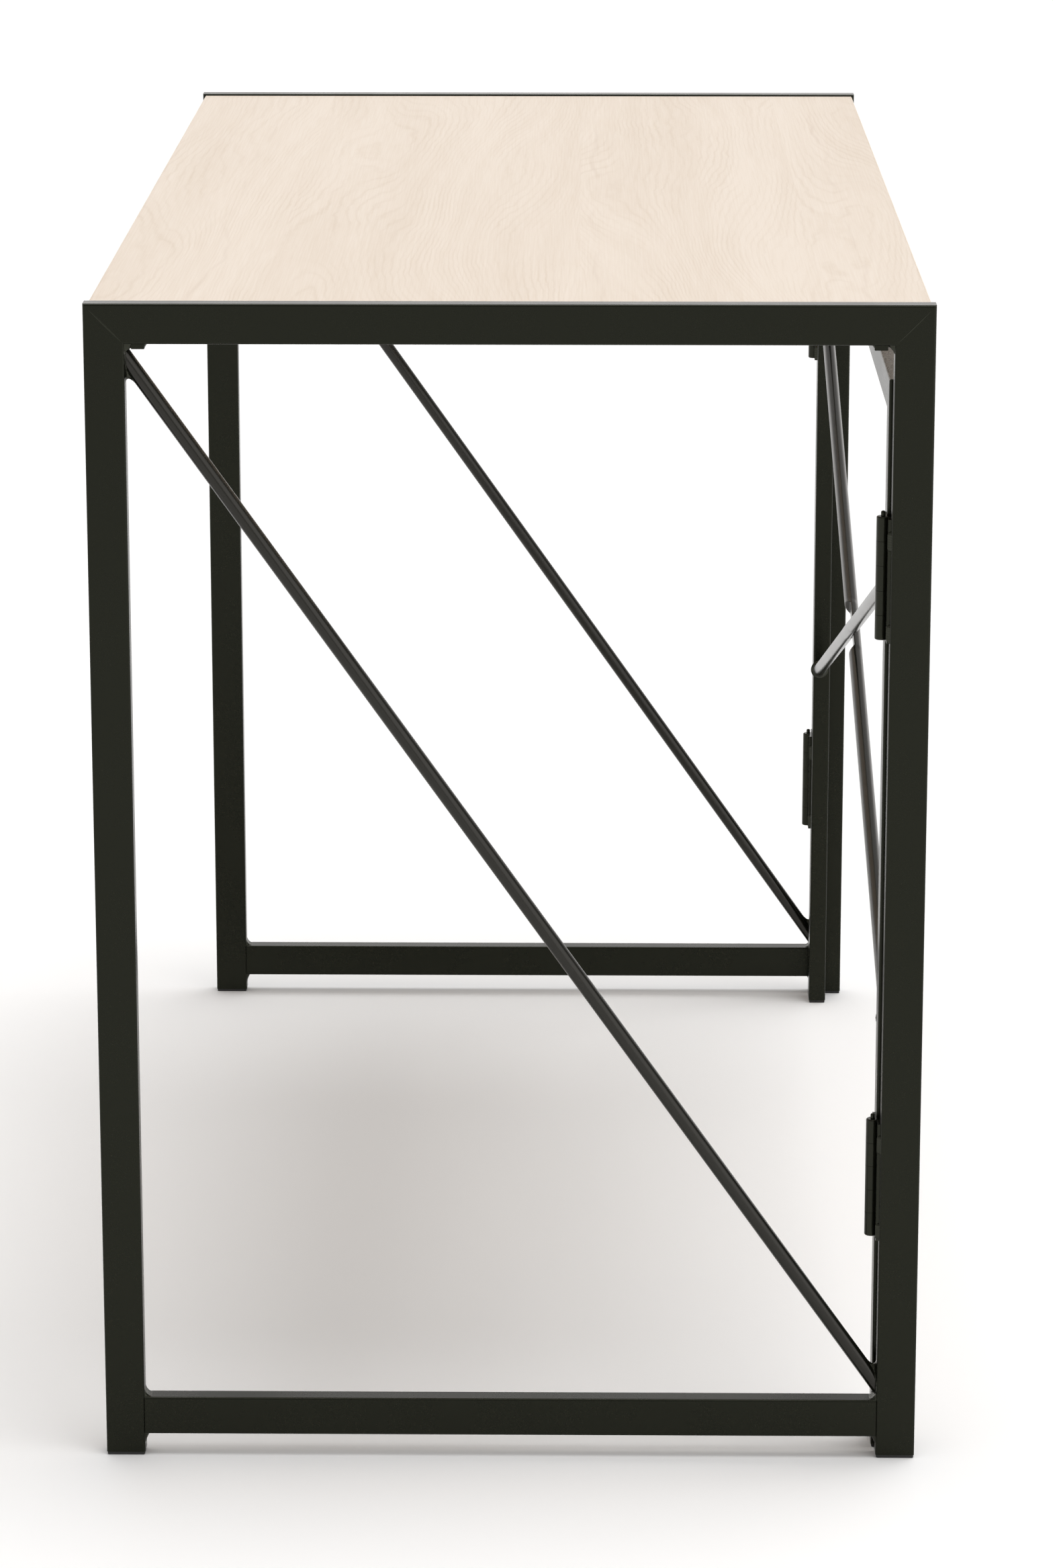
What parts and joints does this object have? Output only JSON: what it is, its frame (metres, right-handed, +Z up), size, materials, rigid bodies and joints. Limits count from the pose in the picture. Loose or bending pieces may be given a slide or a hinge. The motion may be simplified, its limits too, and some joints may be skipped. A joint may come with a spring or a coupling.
{
  "type": "folding table",
  "caption": "Folding gateleg table or desk: black steel side frames hinged to a cross-braced rear frame, with a pale wood-grain top dropped in between their top rails.",
  "frame": {"origin": "on the floor, under the centre of the table's bounding box", "axes": "+Z up, +X along the table to the right side frame, +Y to the rear frame"},
  "size_m": [1, 0.5, 0.72],
  "materials": {
    "black_powder_coat": "satin black powder coat",
    "hinge_black": "black coated steel",
    "black_plastic": "moulded",
    "maple_laminate": "pale maple wood-grain laminate, fine embossed texture",
    "maple_edge_band": "satin edge band"
  },
  "bodies": {
    "rear_frame": {"rear_upright_right": "black_powder_coat", "rear_upright_left": "black_powder_coat", "rear_top_rail": "black_powder_coat", "cross_brace_front": "black_powder_coat", "cross_brace_back": "black_powder_coat", "rear_foot_glides": "black_plastic", "right_lower_hinge_fixed_leaf": "hinge_black", "right_upper_hinge_fixed_leaf": "hinge_black", "left_lower_hinge_fixed_leaf": "hinge_black", "left_upper_hinge_fixed_leaf": "hinge_black", "right_lower_hinge_pin": "hinge_black", "right_upper_hinge_pin": "hinge_black", "left_lower_hinge_pin": "hinge_black", "left_upper_hinge_pin": "hinge_black"},
    "right_side_frame": {"right_front_leg": "black_powder_coat", "right_rear_leg": "black_powder_coat", "right_top_rail": "black_powder_coat", "right_stretcher": "black_powder_coat", "right_diagonal_brace": "black_powder_coat", "right_support_tab_front": "black_powder_coat", "right_support_tab_rear": "black_powder_coat", "right_foot_glides": "black_plastic", "right_lower_hinge_moving_leaf": "hinge_black", "right_upper_hinge_moving_leaf": "hinge_black"},
    "left_side_frame": {"left_front_leg": "black_powder_coat", "left_rear_leg": "black_powder_coat", "left_top_rail": "black_powder_coat", "left_stretcher": "black_powder_coat", "left_diagonal_brace": "black_powder_coat", "left_support_tab_front": "black_powder_coat", "left_support_tab_rear": "black_powder_coat", "left_foot_glides": "black_plastic", "left_lower_hinge_moving_leaf": "hinge_black", "left_upper_hinge_moving_leaf": "hinge_black"},
    "tabletop": {"tabletop_board": "maple_laminate", "tabletop_band_front": "maple_edge_band", "tabletop_band_rear": "maple_edge_band", "tabletop_band_left": "maple_edge_band", "tabletop_band_right": "maple_edge_band"}
  },
  "joints": [
    {"name": "right_side_swing", "type": "hinge", "parent": "rear_frame", "child": "right_side_frame", "pos_m": [0.4845, 0.2216, 0.36], "axis": [0, 0, -1], "range_deg": [-2, 0]},
    {"name": "left_side_swing", "type": "hinge", "parent": "rear_frame", "child": "left_side_frame", "pos_m": [-0.4845, 0.2216, 0.36], "axis": [0, 0, 1], "range_deg": [-2, 0]},
    {"name": "tabletop_lift", "type": "slide", "parent": "rear_frame", "child": "tabletop", "axis": [0, 0, 1], "range_m": [0, 0.15]}
  ]
}
